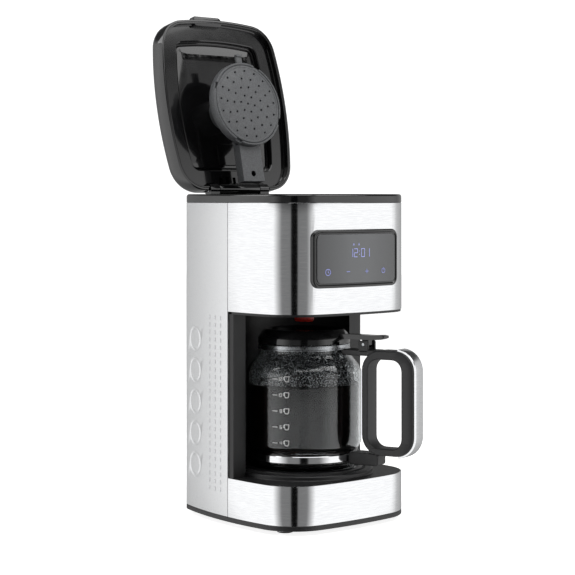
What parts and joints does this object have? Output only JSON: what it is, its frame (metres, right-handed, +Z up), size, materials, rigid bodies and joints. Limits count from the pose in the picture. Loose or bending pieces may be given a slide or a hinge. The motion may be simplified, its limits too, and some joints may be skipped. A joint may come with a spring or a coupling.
{
  "type": "drip coffee maker",
  "caption": "Twelve-cup drip coffee maker with a bowed steel-wrapped body, a front control panel, a hinged lid with a spray head, and a glass jug.",
  "frame": {"origin": "on the worktop, at the middle of the footprint's bounding box, with the lid open and the jug handle out", "axes": "+Z up; -Y is the front with the control panel; +X to the right when facing the front"},
  "size_m": [0.193, 0.3152, 0.5665],
  "materials": {
    "steel": "polished, lightly brushed",
    "silver_skin": "satin silver",
    "black_gloss": "high gloss black",
    "black_matte": "fine texture black",
    "grey_plastic": "satin dark grey",
    "smoke_window": "smoked clear",
    "plate_coat": "non-stick coating",
    "rubber": "matte",
    "silicone": "satin translucent",
    "heater_alloy": "as extruded",
    "zinc_steel": "zinc plated",
    "ceramic_body": "matte",
    "board": "solder mask",
    "display_white": "plain",
    "tank_smoke": "smoked",
    "red_nozzle": "satin",
    "jug_clear": "clear",
    "coffee_liquid": "liquid"
  },
  "bodies": {
    "housing": {"base_tray": "black_matte", "bottom_cover": "black_matte", "cover_screws": "zinc_steel", "feet": "rubber", "base_band": "steel", "rear_skin": "silver_skin", "head_band": "steel", "top_rim": "black_gloss", "tower_wall": "black_matte", "head_floor": "black_matte", "brew_chamber": "black_matte", "water_tank": "tank_smoke", "hot_plate": "plate_coat", "plate_seal": "rubber", "heater_tube": "heater_alloy", "heater_clamp": "zinc_steel", "thermostat": "ceramic_body", "thermal_fuses": "ceramic_body", "feed_hose": "silicone", "check_valve": "silicone", "inlet_hose": "silicone", "riser_hose": "silicone", "hose_clips": "zinc_steel", "water_spigot": "black_matte", "power_board": "board", "cord_gland": "black_matte", "control_bezel": "black_gloss", "display_window": "smoke_window", "control_board": "board", "display_module": "display_white", "hinge_bracket": "black_gloss", "hinge_pin": "zinc_steel"},
    "lid": {"lid_shell": "black_gloss", "lid_liner": "black_gloss", "lid_screws": "black_gloss", "spray_arm": "grey_plastic", "spray_head": "grey_plastic"},
    "spray_cover": {"spray_cover": "grey_plastic"},
    "basket": {"filter_basket": "black_matte", "drip_stop_spring": "zinc_steel"},
    "drip_stop": {"drip_stop_nozzle": "red_nozzle"},
    "jug": {"jug_glass": "jug_clear", "coffee": "coffee_liquid", "jug_strap": "steel", "neck_ring": "zinc_steel", "jug_handle": "black_gloss", "handle_cap": "steel", "handle_screw": "zinc_steel", "jug_lid_pin": "zinc_steel"},
    "jug_lid": {"jug_lid": "black_gloss"}
  },
  "joints": [
    {"name": "lid_hinge", "type": "hinge", "parent": "housing", "child": "lid", "pos_m": [0, 0.0969, 0.3645], "axis": [-1, 0, 0], "range_deg": [-102.3, 0]},
    {"name": "spray_cover_twist", "type": "hinge", "parent": "lid", "child": "spray_cover", "pos_m": [0, 0.07695, 0.4631], "axis": [0, 0.977, -0.213], "range_deg": [-14, 0]},
    {"name": "basket_lift", "type": "slide", "parent": "housing", "child": "basket", "axis": [0, 0, 1], "range_m": [0, 0.15]},
    {"name": "drip_stop_slide", "type": "slide", "parent": "basket", "child": "drip_stop", "axis": [0, 0, 1], "range_m": [0, 0.004], "stiffness_N_per_m": 150, "springref_m": -0.004, "deforming": ["drip_stop_spring"]},
    {"name": "jug_slide", "type": "slide", "parent": "housing", "child": "jug", "axis": [0, -1, 0], "range_m": [0, 0.22]},
    {"name": "jug_lid_hinge", "type": "hinge", "parent": "jug", "child": "jug_lid", "pos_m": [0.02441, -0.09423, 0.1962], "axis": [0.9511, 0.309, 0], "range_deg": [0, 6]}
  ]
}
